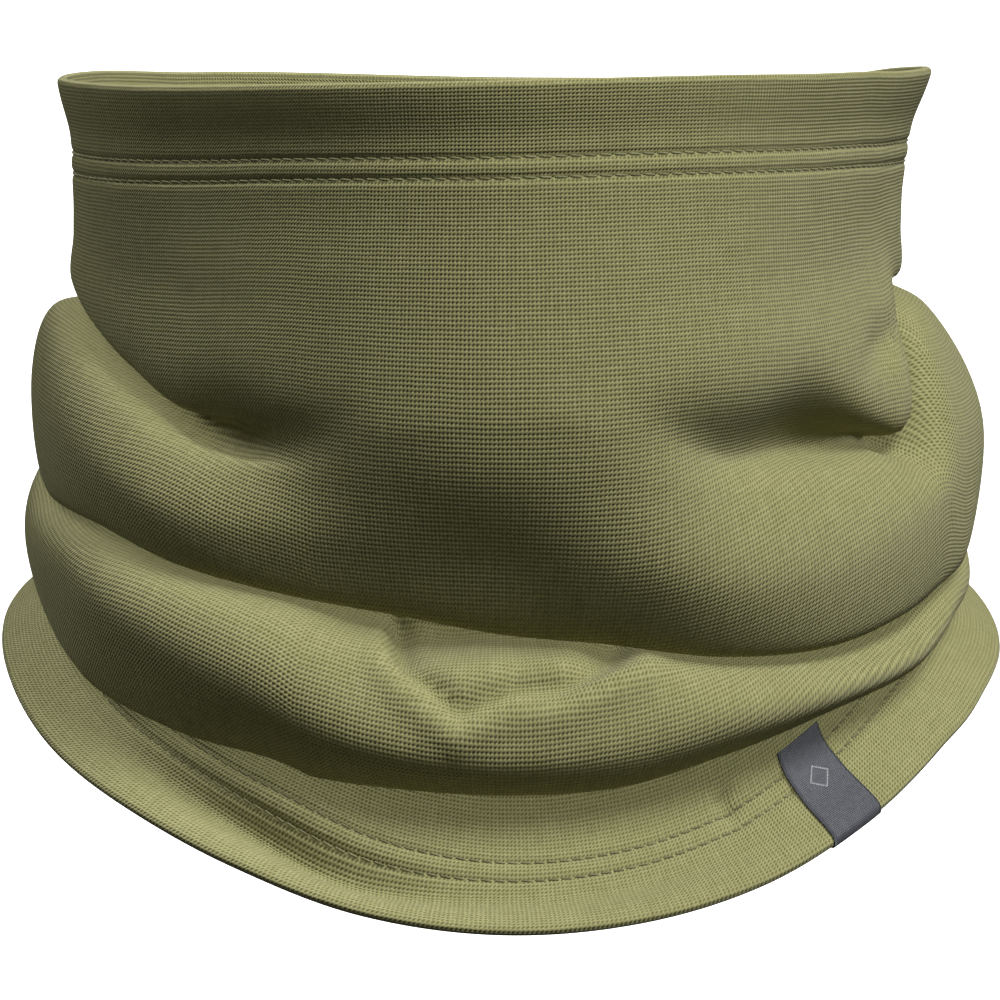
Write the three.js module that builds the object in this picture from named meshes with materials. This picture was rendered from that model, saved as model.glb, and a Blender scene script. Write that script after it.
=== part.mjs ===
// Neck gaiter, bunched round a neck as it is worn: a knitted tube with a turned hem at each end,
// coverstitched, closed by one side seam, with a woven label folded over the lower edge.
// Millimetres. +Z is up along the neck, -Y is the wearer's front, and the origin is on the neck's
// axis, level with the lower hem at the wearer's sides.
// Azimuth is in degrees from the front, positive towards +X.

import * as THREE from 'three';

// ---- Size as worn ---------------------------------------------------------------------------
const tubeRadius = 79;            // of the tube below its upper hem, at the sides
const wornHeight = 159;           // lower edge to rim, at the front

// ---- Cloth ----------------------------------------------------------------------------------
const clothThickness = 1.0;
const hemThickness = 2.0;         // the cloth turned back on itself
const joinGap = 0.3;              // clearance between neighbouring pieces

// ---- Coverstitched hems ---------------------------------------------------------------------
const outerRowFromEdge = 13.7;    // hem edge to the nearer needle row, along the cloth
const rowSpacing = 3.9;           // between the two needle rows
const hemPastRows = 1.9;          // how far the turned cloth reaches past the farther row
const needleThreadRadius = 0.25;
const looperOverlap = 0.7;        // how far the looper threads reach past each needle row
const looperThickness = 0.5;

const needleOffset = hemThickness / 2 + joinGap + needleThreadRadius;
const looperOffset = -(hemThickness / 2 + joinGap + looperThickness / 2);
const looperHalfWidth = rowSpacing / 2 + looperOverlap;
const rows = { outer: outerRowFromEdge, inner: outerRowFromEdge + rowSpacing };
const rowCentre = outerRowFromEdge + rowSpacing / 2;
const hemDepth = rows.inner + hemPastRows;

// ---- Side seam ------------------------------------------------------------------------------
const seamAzimuth = -116;
const seamWidth = 4.0;
const seamThickness = 0.5;
const seamGap = 0.4;              // clearance to the wall, wider than joinGap for the tight folds

// ---- Woven label ----------------------------------------------------------------------------
const labelAzimuth = 43.5;
const labelWidth = 13.5;
const labelThickness = 0.5;
const labelPastRows = 4.0;        // how far its outer end reaches past the needle rows
const labelShortOfLooper = 1.5;   // how far its inner end stays from the looper threads
const labelRise = 4.5;            // length over which it rises to pass over the needle threads

// ---- Worn shape -----------------------------------------------------------------------------
// Each line is a ring of the cloth, from the rim down to the lower edge: its radius and height at
// these azimuths. Between a lip and the next ridge the cloth is tucked up and inwards. The lines
// are drawn at the size below, and stretched from it to the size as worn.
const drawnTubeRadius = 79;
const drawnHeight = 159;
const azimuths = [-135, -110, -85, -60, -45, -30, -15, 0, 15, 30, 45, 60, 67, 75, 90, 110, 135, 180];
const wornLines = {
  rim: {
    radius: [80, 82, 83.5, 81.5, 79.8, 81.5, 84.3, 87, 87.5, 86, 83, 81, 81, 81.2, 81.3, 80.5, 80, 79],
    height: [
      98.9, 103.8, 108.2, 112.5, 115, 117.6, 119.7, 121, 121.2, 120, 117.6, 115, 113.5, 112,
      109.2, 104.5, 97.7, 94.2,
    ],
  },
  waist: {
    radius: [79, 80, 80.6, 80, 78.5, 80, 83.5, 87, 87.5, 85.5, 81, 77.7, 76.8, 76.3, 76.1, 77, 78, 78],
    height: [
      79.2, 84, 88.3, 92.5, 95, 97.6, 99.7, 101, 101.2, 100, 97.6, 95, 93.8, 92.3, 89.3, 84.8,
      78.2, 74.5,
    ],
  },
  brow: {
    radius: [
      79, 80, 80.4, 80, 79.5, 81.3, 85.3, 89, 89.5, 86.5, 81, 77.2, 76.2, 75.8, 75.5, 76.5, 78,
      78,
    ],
    height: [70, 75, 79, 79, 78, 80, 82, 83, 83, 83, 81, 80, 80.5, 81, 80, 77, 70, 66],
  },
  tubeEdge: {
    radius: [
      79, 79.7, 80.6, 80.5, 80.5, 82.5, 87, 91, 91.5, 87.5, 81, 79.3, 80.3, 75.7, 75.2, 76.3,
      78, 78,
    ],
    height: [61, 66, 69.5, 60.5, 53, 58, 64, 66, 65, 60, 58, 54.5, 56, 69, 71, 68, 61, 57],
  },
  upperTuck: {
    radius: [
      76.5, 76.5, 76, 76, 76.5, 80.5, 87.3, 91.3, 91.7, 83.5, 75.5, 74.5, 74.2, 73, 72.5, 73,
      75, 75,
    ],
    height: [57.5, 62.5, 66.8, 58, 50, 50, 55, 57, 56, 48.5, 47, 48, 51, 66.5, 69, 65.5, 58.5, 54.5],
  },
  shoulder: {
    radius: [
      83, 85, 84.8, 85.2, 83.8, 82.5, 86, 89.8, 91, 86.8, 84.3, 84.5, 83.5, 82, 80.5, 82, 82.5,
      80.5,
    ],
    height: [53, 59.5, 63, 53.5, 45.5, 42.5, 45, 46, 45, 40.5, 41, 42.5, 46, 61, 63.5, 60, 53, 50],
  },
  upperBelly: {
    radius: [86, 88.5, 88.4, 89.6, 88, 84, 82.5, 83.5, 88, 91, 91.3, 91, 91, 90.8, 91.2, 90.3, 87, 83],
    height: [47, 50, 51, 42.5, 35.5, 33, 31, 31, 30, 27, 28.5, 32, 36, 40, 42, 46, 46, 46],
  },
  upperLip: {
    radius: [
      85, 87, 85.8, 86.5, 85, 80.5, 76.5, 75.5, 78.3, 84.5, 87.3, 88.6, 88.8, 89.3, 87.2, 88,
      86, 83,
    ],
    height: [39, 38, 31, 29.8, 25.2, 21.4, 18.3, 14.9, 13, 10.2, 9.9, 13.3, 15.8, 18, 21, 29, 36, 39.5],
  },
  middleTuck: {
    radius: [76, 76, 76.5, 76, 74, 71.5, 68, 67, 68.5, 73.5, 75, 77, 77.5, 78, 78, 77, 76, 75],
    height: [47, 47, 39, 37, 33, 30, 26, 23, 21, 18, 18, 20.5, 22.8, 25.5, 29, 37, 44, 47.5],
  },
  lowerRidge: {
    radius: [
      84.5, 87, 88.5, 90.5, 89.5, 87.8, 86.5, 86, 88, 88, 88.5, 88.8, 88.6, 88.2, 86.3, 87.3,
      85.5, 83,
    ],
    height: [34, 34, 27, 24, 20, 16, 9.5, 8, 8, 5, 4.5, 7, 10.2, 14, 17, 24.5, 32, 35],
  },
  lowerBelly: {
    radius: [
      87, 89.5, 89.8, 91, 91.3, 91.6, 91.2, 90.2, 90, 90.3, 90.6, 90.8, 90.4, 89.6, 88.7, 89,
      87.7, 85.5,
    ],
    height: [27.5, 27, 20, 12, 7, 2, -2.5, -5, -4, -1.5, 0.5, 4.5, 8, 11.8, 14, 20, 26.5, 28],
  },
  lowerLip: {
    radius: [
      86, 87.5, 86.5, 87, 86.5, 85.5, 84.5, 84, 84.5, 86, 87.5, 88.5, 88.5, 88.2, 87.5, 87.5,
      87, 84.5,
    ],
    height: [
      19.5, 16.5, 9, -2.1, -8.6, -11.7, -13.2, -14.3, -13.3, -8.7, -3, 1.3, 4.9, 9.1, 10.8,
      14.8, 19.5, 21,
    ],
  },
  lowerTuck: {
    radius: [75.5, 76.5, 77, 77.5, 77, 76.5, 76, 75.5, 76, 77.5, 79, 80, 79.6, 79, 78, 77, 75.5, 75],
    height: [32, 28, 20, 6, -1, -4.5, -6.5, -7.5, -6.5, -2, 3.5, 8, 11.2, 15, 19, 25.5, 32, 34.5],
  },
  hemEdge: {
    radius: [
      88.4, 91.9, 94.2, 96.1, 97.7, 99.5, 100.9, 101.4, 100.4, 98.9, 97.2, 95.6, 95.4, 94.8,
      94.2, 91.9, 88.4, 86.9,
    ],
    height: [
      11.4, 7.9, 0.9, -12.6, -19.6, -27.1, -34.1, -37.1, -35.8, -30.6, -21.6, -11.6, -7.9,
      -4.1, 0.4, 6.9, 11.4, 13.9,
    ],
  },
};
// How far the lower hem's flare falls below level, in degrees.
const hemSlopes = [45, 42, 38, 38, 40, 44, 38, 35, 35, 36, 37, 38, 38, 38, 38, 40, 45, 48];
const lipUnderside = { inwards: 2.6, upwards: 1.4 };   // how tightly a lip turns under
const gutter = { outwards: 2, upwards: 6 };            // tuck's floor, from its top and the ridge
const tuckHalfWidth = 1.2;                             // half of the round end of a tuck
const lipClearance = 0.4;           // least gap from the lower lip to the hem's thread
const tuckOverHem = 8;              // least height of the lower tuck over the hem's root

// ---- Fineness of the facets -----------------------------------------------------------------
const columnCount = 60;
// Where the tube's rows lie, counted in points of a section: each point, and halfway where they
// are far apart.
const firstTubePoint = 1;
const hemRootPoint = 19;
const tubeStations = [
  1, 1.5, 2, 2.5, 3, 3.5, 4, 5, 6, 6.5, 7, 7.5, 8, 9, 9.5, 10,
  11, 12, 13, 13.5, 14, 14.5, 15, 16, 17, 18, 18.5, 19,
];
const hemRows = 5;
const threadSides = 4;

// Value at an azimuth of numbers given at the azimuths above, smooth and closed round the neck.
function around(values, azimuth) {
  const count = azimuths.length;
  const turned = THREE.MathUtils.euclideanModulo(azimuth - azimuths[0], 360) + azimuths[0];
  const key = (i) => azimuths[THREE.MathUtils.euclideanModulo(i, count)] + 360 * Math.floor(i / count);
  const value = (i) => values[THREE.MathUtils.euclideanModulo(i, count)];
  let i = 0;
  while (key(i + 1) <= turned) i += 1;
  const span = key(i + 1) - key(i);
  const t = (turned - key(i)) / span;
  const slopeAt = (j) => (value(j + 1) - value(j - 1)) / (key(j + 1) - key(j - 1));
  const start = value(i) * (1 + 2 * t) * (1 - t) ** 2 + slopeAt(i) * span * t * (1 - t) ** 2;
  const end = value(i + 1) * t * t * (3 - 2 * t) - slopeAt(i + 1) * span * t * t * (1 - t);
  return start + end;
}

// The two points that a tuck turns through, on the line between its neighbours' directions.
function roundEnd(before, end, after) {
  const across = before.clone().sub(after).setLength(tuckHalfWidth);
  return [end.clone().add(across), end.clone().sub(across)];
}

// The cloth's section at an azimuth, from rim to lower edge. x is the radius and y the height.
function clothSection(azimuth) {
  const point = (line) => new THREE.Vector3(
    around(line.radius, azimuth) * tubeRadius / drawnTubeRadius,
    around(line.height, azimuth) * wornHeight / drawnHeight,
    0,
  );
  const shifted = (p, outwards, upwards) => new THREE.Vector3(p.x + outwards, p.y + upwards, 0);
  const underside = (lip) => shifted(lip, -lipUnderside.inwards, lipUnderside.upwards);
  const upperLip = point(wornLines.upperLip);
  const middleTuck = point(wornLines.middleTuck);
  const lowerRidge = point(wornLines.lowerRidge);
  const hemEdge = point(wornLines.hemEdge);
  const slope = THREE.MathUtils.degToRad(around(hemSlopes, azimuth));
  const lowerLip = point(wornLines.lowerLip);
  const hemBelowLip = hemEdge.y + (hemEdge.x - lowerLip.x) * Math.tan(slope);
  const threadTop = needleOffset + needleThreadRadius;
  const restOnHem = (threadTop + lipClearance + clothThickness / 2) / Math.cos(slope);
  lowerLip.y = Math.max(lowerLip.y, hemBelowLip + restOnHem);
  const tubeEdge = point(wornLines.tubeEdge);
  const shoulder = point(wornLines.shoulder);
  const middleGutter = new THREE.Vector3(
    middleTuck.x + gutter.outwards, lowerRidge.y + gutter.upwards, 0);
  const hemRoot = shifted(hemEdge, -hemDepth * Math.cos(slope), hemDepth * Math.sin(slope));
  const lowerTuck = point(wornLines.lowerTuck);
  lowerTuck.y = Math.max(lowerTuck.y, hemRoot.y + tuckOverHem);
  return new THREE.CatmullRomCurve3([
    point(wornLines.rim),
    point(wornLines.waist),
    point(wornLines.brow),
    tubeEdge,
    ...roundEnd(tubeEdge, point(wornLines.upperTuck), shoulder),
    shoulder,
    point(wornLines.upperBelly),
    upperLip,
    underside(upperLip),
    ...roundEnd(underside(upperLip), middleTuck, middleGutter),
    middleGutter,
    lowerRidge,
    point(wornLines.lowerBelly),
    lowerLip,
    underside(lowerLip),
    ...roundEnd(underside(lowerLip), lowerTuck, hemRoot),
    hemRoot,
    hemEdge,
  ], false, 'centripetal');
}

// Where a section has run a given distance along the cloth, as the curve's own parameter.
const fineSteps = 400;
function parameterAt(curve, distance) {
  let run = 0;
  let previous = curve.getPoint(0);
  for (let i = 1; i <= fineSteps; i += 1) {
    const next = curve.getPoint(i / fineSteps);
    const step = next.distanceTo(previous);
    if (run + step >= distance) return (i - 1 + (distance - run) / step) / fineSteps;
    run += step;
    previous = next;
  }
  return 1;
}

const sectionCache = new Map();
function section(azimuth) {
  if (!sectionCache.has(azimuth)) {
    const curve = clothSection(azimuth);
    let length = 0;
    for (let i = 1; i <= fineSteps; i += 1) {
      length += curve.getPoint(i / fineSteps).distanceTo(curve.getPoint((i - 1) / fineSteps));
    }
    sectionCache.set(azimuth, { curve, length });
  }
  return sectionCache.get(azimuth);
}

// A point of the section moved out of the cloth by an offset, positive on the outer face.
function offsetPoint(curve, parameter, offset) {
  const step = 0.0005;
  const before = curve.getPoint(Math.max(0, parameter - step));
  const after = curve.getPoint(Math.min(1, parameter + step));
  const along = after.sub(before).normalize();
  const point = curve.getPoint(parameter);
  return new THREE.Vector2(point.x - along.y * offset, point.y + along.x * offset);
}

function toSpace(point, azimuth) {
  const angle = THREE.MathUtils.degToRad(azimuth);
  return new THREE.Vector3(point.x * Math.sin(angle), -point.x * Math.cos(angle), point.y);
}

// A closed body lofted through sections. Each section is an outer and an inner row of points.
function loft(sections, closedRound) {
  const count = sections[0].outer.length;
  const positions = [];
  for (const { outer, inner } of sections) {
    for (const p of [...outer, ...[...inner].reverse()]) positions.push(p.x, p.y, p.z);
  }
  const size = 2 * count;
  const faces = [];
  const bays = closedRound ? sections.length : sections.length - 1;
  for (let i = 0; i < bays; i += 1) {
    const next = (i + 1) % sections.length;
    for (let j = 0; j < size; j += 1) {
      const k = (j + 1) % size;
      faces.push(i * size + j, next * size + j, next * size + k);
      faces.push(i * size + j, next * size + k, i * size + k);
    }
  }
  if (!closedRound) {
    const last = (sections.length - 1) * size;
    for (let j = 0; j < count - 1; j += 1) {
      const across = size - 1 - j;
      faces.push(j, j + 1, across - 1, j, across - 1, across);
      faces.push(last + j, last + across - 1, last + j + 1, last + j, last + across, last + across - 1);
    }
  }
  const geometry = new THREE.BufferGeometry();
  geometry.setAttribute('position', new THREE.Float32BufferAttribute(positions, 3));
  geometry.setIndex(faces);
  if (signedVolume(geometry) < 0) {
    for (let i = 0; i < faces.length; i += 3) {
      [faces[i + 1], faces[i + 2]] = [faces[i + 2], faces[i + 1]];
    }
    geometry.setIndex(faces);
  }
  geometry.computeVertexNormals();
  return geometry;
}

function signedVolume(geometry) {
  const { position } = geometry.attributes;
  const corner = (i) => new THREE.Vector3().fromBufferAttribute(position, geometry.index.getX(i));
  let volume = 0;
  for (let i = 0; i < geometry.index.count; i += 3) {
    volume += corner(i).dot(corner(i + 1).cross(corner(i + 2))) / 6;
  }
  return volume;
}

const columnAzimuths = Array.from({ length: columnCount }, (_, i) => -180 + 360 * i / columnCount);

// Parameters spread evenly between two distances along the cloth, given from the section's length.
const evenly = (from, to, rowCount) => ({ curve, length }) => {
  const start = parameterAt(curve, from(length));
  const end = parameterAt(curve, to(length));
  return Array.from({ length: rowCount }, (_, j) => start + (end - start) * j / (rowCount - 1));
};

// Parameters at the tube's stations, the first and last moved to where the hems leave off.
function tubeParameters({ curve, length }) {
  const last = curve.points.length - 1;
  const start = parameterAt(curve, hemDepth + joinGap) * last;
  const end = parameterAt(curve, length - hemDepth - joinGap) * last;
  const middle = (firstTubePoint + hemRootPoint) / 2;
  return tubeStations.map((station) => {
    const share = Math.abs(station - middle) / (hemRootPoint - middle);
    const stretched = station < middle
      ? middle - (middle - start) * share
      : middle + (end - middle) * share;
    const nearEnd = share ** 8;
    return (station + (stretched - station) * nearEnd) / last;
  });
}

// A band of the wall, through a section's parameters.
function wallBand(parametersOf, thickness) {
  return loft(columnAzimuths.map((azimuth) => {
    const { curve, length } = section(azimuth);
    const side = (offset) => parametersOf({ curve, length }).map((parameter) => (
      toSpace(offsetPoint(curve, parameter, offset), azimuth)));
    return { outer: side(thickness / 2), inner: side(-thickness / 2) };
  }), true);
}

// A thread laid round the cloth at a distance along it and an offset out of it.
function threadRing(distance, offset, halfWidth, halfThickness) {
  return loft(columnAzimuths.map((azimuth) => {
    const { curve, length } = section(azimuth);
    const parameterFor = (shift) => parameterAt(curve, distance(length) + shift);
    const corner = (shift, rise) => (
      toSpace(offsetPoint(curve, parameterFor(shift), offset + rise), azimuth));
    return {
      outer: [corner(-halfWidth, halfThickness), corner(halfWidth, halfThickness)],
      inner: [corner(-halfWidth, -halfThickness), corner(halfWidth, -halfThickness)],
    };
  }), true);
}

// The overlocked side seam: a flat ridge down the inside of the tube.
function seamRidge() {
  const offset = -(clothThickness / 2 + seamGap + seamThickness / 2);
  const meanSection = section(seamAzimuth);
  return loft(tubeParameters(meanSection).map((parameter) => {
    const radius = meanSection.curve.getPoint(parameter).x;
    const halfAngle = THREE.MathUtils.radToDeg(seamWidth / 2 / radius);
    const rung = (rise) => [-1, 1].map((side) => {
      const azimuth = seamAzimuth + side * halfAngle;
      return toSpace(offsetPoint(section(azimuth).curve, parameter, offset + rise), azimuth);
    });
    return { outer: rung(seamThickness / 2), inner: rung(-seamThickness / 2) };
  }), false);
}

// The label: a ribbon folded over the lower edge, from outside to inside.
function labelRibbon() {
  const onHem = hemThickness / 2 + joinGap;
  const overThread = needleOffset + needleThreadRadius + joinGap;
  const frontLength = rows.inner + labelPastRows;
  const backLength = rowCentre - looperHalfWidth - labelShortOfLooper;
  const riseStart = rows.outer - needleThreadRadius - joinGap - labelRise;
  const standOff = (distance) => (
    onHem + (overThread - onHem)
      * THREE.MathUtils.smoothstep(distance, riseStart, riseStart + labelRise));
  const columns = 5;
  const foldSteps = 6;
  const edgeRadius = around(wornLines.hemEdge.radius, labelAzimuth);
  const halfAngle = THREE.MathUtils.radToDeg(labelWidth / 2 / edgeRadius);
  const ribs = Array.from({ length: columns }, (_, i) => {
    const azimuth = labelAzimuth + halfAngle * (2 * i / (columns - 1) - 1);
    const { curve, length } = section(azimuth);
    const edge = curve.getPoint(1);
    const along = edge.clone().sub(curve.getPoint(0.999)).normalize();
    const side = (thickness) => {
      const offset = onHem + thickness;
      const frontStops = [
        frontLength, rows.inner, riseStart + labelRise, riseStart + labelRise / 2, riseStart,
      ];
      const front = frontStops.map((distance) => (
        offsetPoint(curve, parameterAt(curve, length - distance), standOff(distance) + thickness)));
      const back = [0.3, 0.65, 1].map((share) => (
        offsetPoint(curve, parameterAt(curve, length - share * backLength), -offset)));
      const fold = Array.from({ length: foldSteps + 1 }, (__, k) => {
        const turn = Math.PI * k / foldSteps;
        const out = offset * Math.cos(turn);
        const past = offset * Math.sin(turn);
        return new THREE.Vector2(
          edge.x - along.y * out + along.x * past, edge.y + along.x * out + along.y * past);
      });
      return [...front, ...fold, ...back].map((p) => toSpace(p, azimuth));
    };
    return { outer: side(labelThickness), inner: side(0) };
  });
  return loft(ribs, false);
}

const cloth = { color: 0x7d7b53, roughness: 0.95, metalness: 0 };
const thread = { color: 0x6b6a45, roughness: 0.8, metalness: 0 };
const satin = { color: 0x565a63, roughness: 0.6, metalness: 0 };

const gaiter = new THREE.Group();
function add(name, geometry, look) {
  const mesh = new THREE.Mesh(geometry, new THREE.MeshStandardMaterial(look));
  mesh.name = name;
  gaiter.add(mesh);
}

const fromRim = (distance) => () => distance;
const fromLowerEdge = (distance) => (length) => length - distance;

add('tube_body', wallBand(tubeParameters, clothThickness), cloth);
add('top_hem', wallBand(evenly(fromRim(0), fromRim(hemDepth), hemRows), hemThickness), cloth);
add('bottom_hem',
  wallBand(evenly(fromLowerEdge(hemDepth), fromLowerEdge(0), hemRows), hemThickness), cloth);

for (const [hem, along] of [['top_hem', fromRim], ['bottom_hem', fromLowerEdge]]) {
  for (const [row, distance] of Object.entries(rows)) {
    add(`${hem}_needle_thread_${row}`,
      threadRing(along(distance), needleOffset, needleThreadRadius, needleThreadRadius), thread);
  }
  add(`${hem}_looper_thread`,
    threadRing(along(rowCentre), looperOffset, looperHalfWidth, looperThickness / 2), thread);
}

add('side_seam', seamRidge(), thread);
add('woven_label', labelRibbon(), satin);

export default gaiter;
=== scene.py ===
"""Looks of the neck gaiter: one continuous knitted tube, coverstitched hems, side seam, woven label.

Lengths along the cloth and the worn shape are in millimetres, close to those of the CAD model, and
every mesh is in metres. Azimuth is in degrees from the wearer's front, positive towards +X.
"""

import math

import bpy
import numpy as np
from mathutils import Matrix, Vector


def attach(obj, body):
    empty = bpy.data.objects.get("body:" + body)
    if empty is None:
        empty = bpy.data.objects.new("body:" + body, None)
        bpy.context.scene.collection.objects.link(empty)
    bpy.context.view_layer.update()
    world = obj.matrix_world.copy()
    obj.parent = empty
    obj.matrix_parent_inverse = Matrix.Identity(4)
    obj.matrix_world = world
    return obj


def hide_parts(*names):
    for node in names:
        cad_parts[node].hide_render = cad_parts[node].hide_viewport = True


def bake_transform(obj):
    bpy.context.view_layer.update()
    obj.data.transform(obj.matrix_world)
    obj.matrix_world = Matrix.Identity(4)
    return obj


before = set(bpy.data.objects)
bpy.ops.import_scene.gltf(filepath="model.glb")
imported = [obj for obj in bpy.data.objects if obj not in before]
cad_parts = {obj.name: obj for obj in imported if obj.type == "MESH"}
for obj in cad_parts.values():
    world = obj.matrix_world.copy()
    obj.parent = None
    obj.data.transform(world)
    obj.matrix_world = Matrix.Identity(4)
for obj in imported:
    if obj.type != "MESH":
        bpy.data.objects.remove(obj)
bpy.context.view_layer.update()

MM = 0.001

# ---- Cloth and hems, in millimetres ----------------------------------------------------------
OUTER_ROW = 13.7            # hem edge to the nearer needle row
INNER_ROW = 17.6            # hem edge to the farther needle row
HEM_DEPTH = 19.5            # hem edge to the raw edge of the turned cloth, inside
OUTER_FACE = 0.6            # the cloth's outer face from its middle
INNER_FACE = 0.4            # the single cloth's inner face from its middle
TURNED_FACE = 1.4           # the turned hem's inner face from the middle
FLAT_WIDTH = 500.0          # the tube's girth, lying slack
FLAT_LENGTH = 215.0         # the hemmed cloth from edge to edge, lying slack
STITCH_LENGTH = 2.7
GROOVE_DEPTH = 0.45         # how far a needle row pulls the cloth in
GROOVE_HALF_WIDTH = 0.75
INNER_GROOVE_DEPTH = 0.25   # the same, on the hem's inner face
NEEDLE_RADIUS = 0.24        # of each thread
LOOPER_RADIUS = 0.2
OVERLOCK_RADIUS = 0.16
OVERLOCK_PERIOD = 2.2       # from one wrap of the overlock thread to the next

SEAM_AZIMUTH = -116.0
SEAM_WIDTH = 4.0
SEAM_LINE_DEPTH = 0.5       # how far the seam draws the outer face in
SEAM_LINE_ANGLE = 0.35      # half the angle of that line, in degrees
LABEL_AZIMUTH = 43.5
LABEL_WIDTH = 12.8
LABEL_PAST_ROWS = 4.0
LABEL_THICKNESS = 0.5

# ---- Worn shape, close to the CAD model's -----------------------------------------------------
AZIMUTHS = np.array([
    -135, -110, -85, -60, -45, -30, -15, 0, 15, 30, 45, 60, 67, 75, 90, 110, 135, 180.0,
])
# Each line is a ring of the cloth, from the rim down: its radii, then its heights, at the azimuths.
WORN_LINES = {
    "rim": (
        [
            80, 82, 83.5, 81.5, 79.8, 81.5, 84.3, 87, 87.5,
            86, 83, 81, 81, 81.2, 81.3, 80.5, 80, 79,
        ],
        [
            98.9, 103.8, 108.2, 112.5, 115, 117.6, 119.7, 121, 121.2,
            120, 117.6, 115, 113.5, 112, 109.2, 104.5, 97.7, 94.2,
        ],
    ),
    "waist": (
        [
            79, 80, 80.6, 80, 78.5, 80, 83.5, 87, 87.5,
            85.5, 81, 77.7, 76.8, 76.3, 76.1, 77, 78, 78,
        ],
        [
            79.2, 84, 88.3, 92.5, 95, 97.6, 99.7, 101, 101.2,
            100, 97.6, 95, 93.8, 92.3, 89.3, 84.8, 78.2, 74.5,
        ],
    ),
    "brow": (
        [
            79, 80, 80.4, 80, 79.5, 81.3, 85.3, 89, 89.5,
            86.5, 81, 77.2, 76.2, 75.8, 75.5, 76.5, 78, 78,
        ],
        [70, 75, 79, 79, 78, 80, 82, 83, 83, 83, 81, 80, 80.5, 81, 80, 77, 70, 66],
    ),
    "tube_edge": (
        [
            79, 79.7, 80.6, 80.5, 80.5, 82.5, 87, 91, 91.5,
            88.5, 83.5, 83, 83.5, 75.7, 75.2, 76.3, 78, 78,
        ],
        [61, 66, 69.5, 60.5, 53, 58, 64, 66, 65, 61.5, 61, 49.5, 49, 69, 71, 68, 61, 57],
    ),
    "upper_tuck": (
        [
            76.5, 76.5, 76, 76, 76.5, 80.5, 87.3, 91.3, 91.7,
            82.5, 74, 75.5, 75, 73, 72.5, 73, 75, 75,
        ],
        [
            57.5, 62.5, 66.8, 58, 50, 50, 55, 57, 56,
            48.5, 46.5, 45.3, 45.3, 66.5, 69, 65.5, 58.5, 54.5,
        ],
    ),
    "shoulder": (
        [
            83, 85, 84.8, 85.2, 83.8, 82.5, 86, 89.8, 91,
            86.8, 84.3, 84.5, 85.5, 82, 80.5, 82, 82.5, 80.5,
        ],
        [53, 59.5, 63, 53.5, 45.5, 42.5, 45, 46, 45, 40.5, 41, 41, 41, 61, 63.5, 60, 53, 50],
    ),
    "upper_belly": (
        [
            86, 88.5, 88.4, 89.6, 88, 84, 82.5, 83.5, 88,
            91, 91.3, 91, 91, 90.8, 91.2, 90.3, 87, 83,
        ],
        [47, 50, 51, 42.5, 35.5, 33, 31, 31, 28, 24.5, 26.5, 32, 36, 40, 42, 46, 46, 46],
    ),
    "upper_lip": (
        [
            85, 87, 85.8, 86.5, 85, 80.5, 76.5, 75.5, 78.3,
            84.5, 87.3, 88.6, 88.8, 89.3, 87.2, 88, 86, 83,
        ],
        [
            39, 38, 31, 29.8, 25.2, 21.4, 18.3, 14.9, 13,
            10.2, 9.9, 13.3, 15.8, 18, 21, 29, 36, 39.5,
        ],
    ),
    "middle_tuck": (
        [76, 76, 76.5, 76, 74, 71.5, 68, 67, 68.5, 73.5, 75, 77, 77.5, 78, 78, 77, 76, 75],
        [47, 47, 39, 37, 33, 30, 26, 23, 21, 18, 18, 20.5, 22.8, 25.5, 29, 37, 44, 47.5],
    ),
    "lower_ridge": (
        [
            84.5, 87, 88.5, 90.5, 89.5, 87.8, 85.5, 85, 86.5,
            88, 88.5, 88.8, 88.6, 88.2, 86.3, 87.3, 85.5, 83,
        ],
        [34, 34, 27, 24, 20, 16, 9.5, 8, 8, 5, 4.5, 7, 10.2, 14, 17, 24.5, 32, 35],
    ),
    "lower_belly": (
        [
            87, 89.5, 89.8, 91, 91.3, 91.6, 91.8, 91, 90.8,
            90.8, 90.6, 90.8, 90.4, 89.6, 88.7, 89, 87.7, 85.5,
        ],
        [27.5, 27, 20, 12, 7, 2, -4.5, -7, -6, -3, 0.5, 4.5, 8, 11.8, 14, 20, 26.5, 28],
    ),
    "lower_lip": (
        [
            86, 87.5, 86.5, 87, 86.5, 85.5, 84.5, 84, 84.5,
            86, 87.5, 88.5, 88.5, 88.2, 87.5, 87.5, 87, 84.5,
        ],
        [
            19.5, 16.5, 9, -2.1, -8.6, -11.7, -13.2, -14.3, -13.3,
            -8.7, -3, 1.3, 4.9, 9.1, 10.8, 14.8, 19.5, 21,
        ],
    ),
    "lower_tuck": (
        [75.5, 76.5, 77, 77.5, 77, 76.5, 76, 75.5, 76, 77.5, 79, 80, 79.6, 79, 78, 77, 75.5, 75],
        [32, 28, 20, 6, -1, -4.5, -6.5, -7.5, -6.5, -2, 3.5, 8, 11.2, 15, 19, 25.5, 32, 34.5],
    ),
    "hem_edge": (
        [
            88.4, 91.9, 94.2, 96.1, 97.7, 99.5, 100.9, 101.4, 100.4,
            98.9, 97.2, 95.6, 95.4, 94.8, 94.2, 91.9, 88.4, 86.9,
        ],
        [
            11.4, 7.9, 0.9, -12.6, -19.6, -27.1, -34.1, -37.1, -35.8,
            -30.6, -21.6, -11.6, -7.9, -4.1, 0.4, 6.9, 11.4, 13.9,
        ],
    ),
}
# How far the lower hem's flare falls below level, in degrees, at the azimuths.
HEM_SLOPES = [45, 42, 38, 38, 40, 44, 38, 35, 35, 36, 37, 38, 38, 38, 38, 40, 45, 48]
LIP_UNDERSIDE = np.array([-2.6, 1.4])   # from a lip to the point where it has turned under
GUTTER = np.array([2.0, 6.0])           # from the middle tuck's radius and the ridge's height
TUCK_HALF_WIDTH = 1.2                   # half of the round end of a tuck
LIP_ABOVE_HEM = 2.7                     # least height of the lower lip above the hem, square to it

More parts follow.
